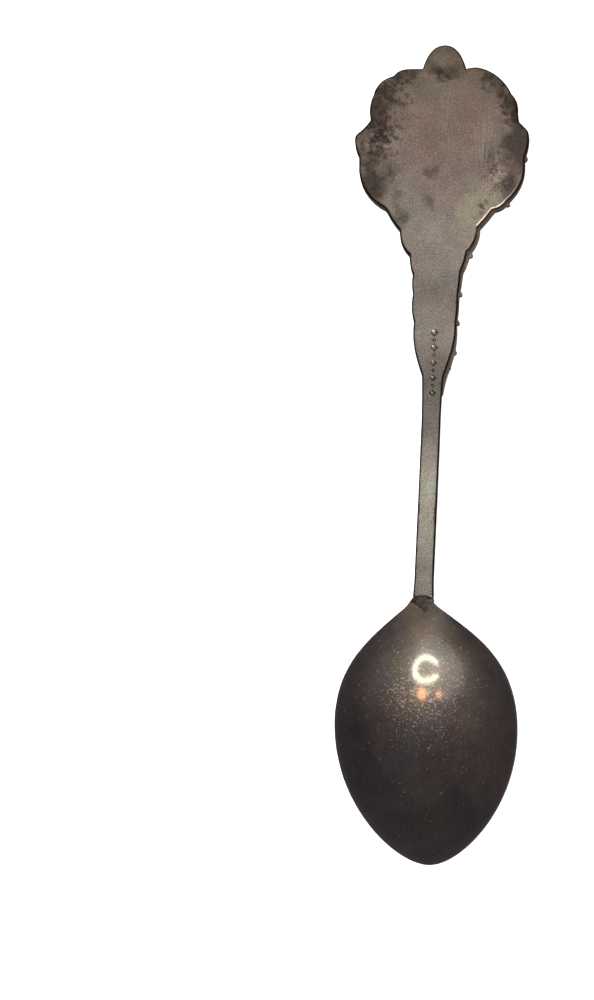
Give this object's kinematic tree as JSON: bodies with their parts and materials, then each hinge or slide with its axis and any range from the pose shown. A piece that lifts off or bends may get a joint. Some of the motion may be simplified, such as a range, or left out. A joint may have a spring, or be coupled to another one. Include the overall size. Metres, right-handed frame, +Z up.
{
  "type": "souvenir spoon",
  "caption": "Souvenir teaspoon lying face down: an oval bowl turned a little on a slim stem, and a lobed crest with an enamelled badge on its hidden front.",
  "frame": {"origin": "on the table, under the middle of the spoon's length and width", "axes": "+Y along the handle towards the crest, +Z up out of the spoon's back, +X to the right seen from above with the crest away from the viewer"},
  "size_m": [0.025, 0.1126, 0.0085],
  "materials": {
    "plated_bowl": "polished silver plate, tarnished grey-brown",
    "plated_handle": "satin silver plate, tarnished",
    "plated_front": "struck silver plate, dark in its hollows",
    "tarnished_solder": "dull, nearly black with tarnish",
    "gilt_tray": "thinly gilded, polished",
    "sky_enamel": "glossy enamel",
    "sun_enamel": "glossy enamel",
    "hill_enamel": "glossy enamel",
    "water_enamel": "glossy enamel",
    "field_enamel": "glossy enamel",
    "clear_resin": "clear gloss",
    "ribbon_enamel": "glossy enamel"
  },
  "bodies": {
    "root": {"bowl": "plated_bowl", "handle": "plated_handle", "heel_solder": "tarnished_solder", "front_plate": "plated_front", "seam_solder": "tarnished_solder", "badge_solder": "tarnished_solder", "badge_tray": "gilt_tray", "enamel_sky": "sky_enamel", "enamel_sun": "sun_enamel", "enamel_hills": "hill_enamel", "enamel_water": "water_enamel", "enamel_field": "field_enamel", "badge_dome": "clear_resin", "ribbon_enamel": "ribbon_enamel"}
  },
  "joints": []
}
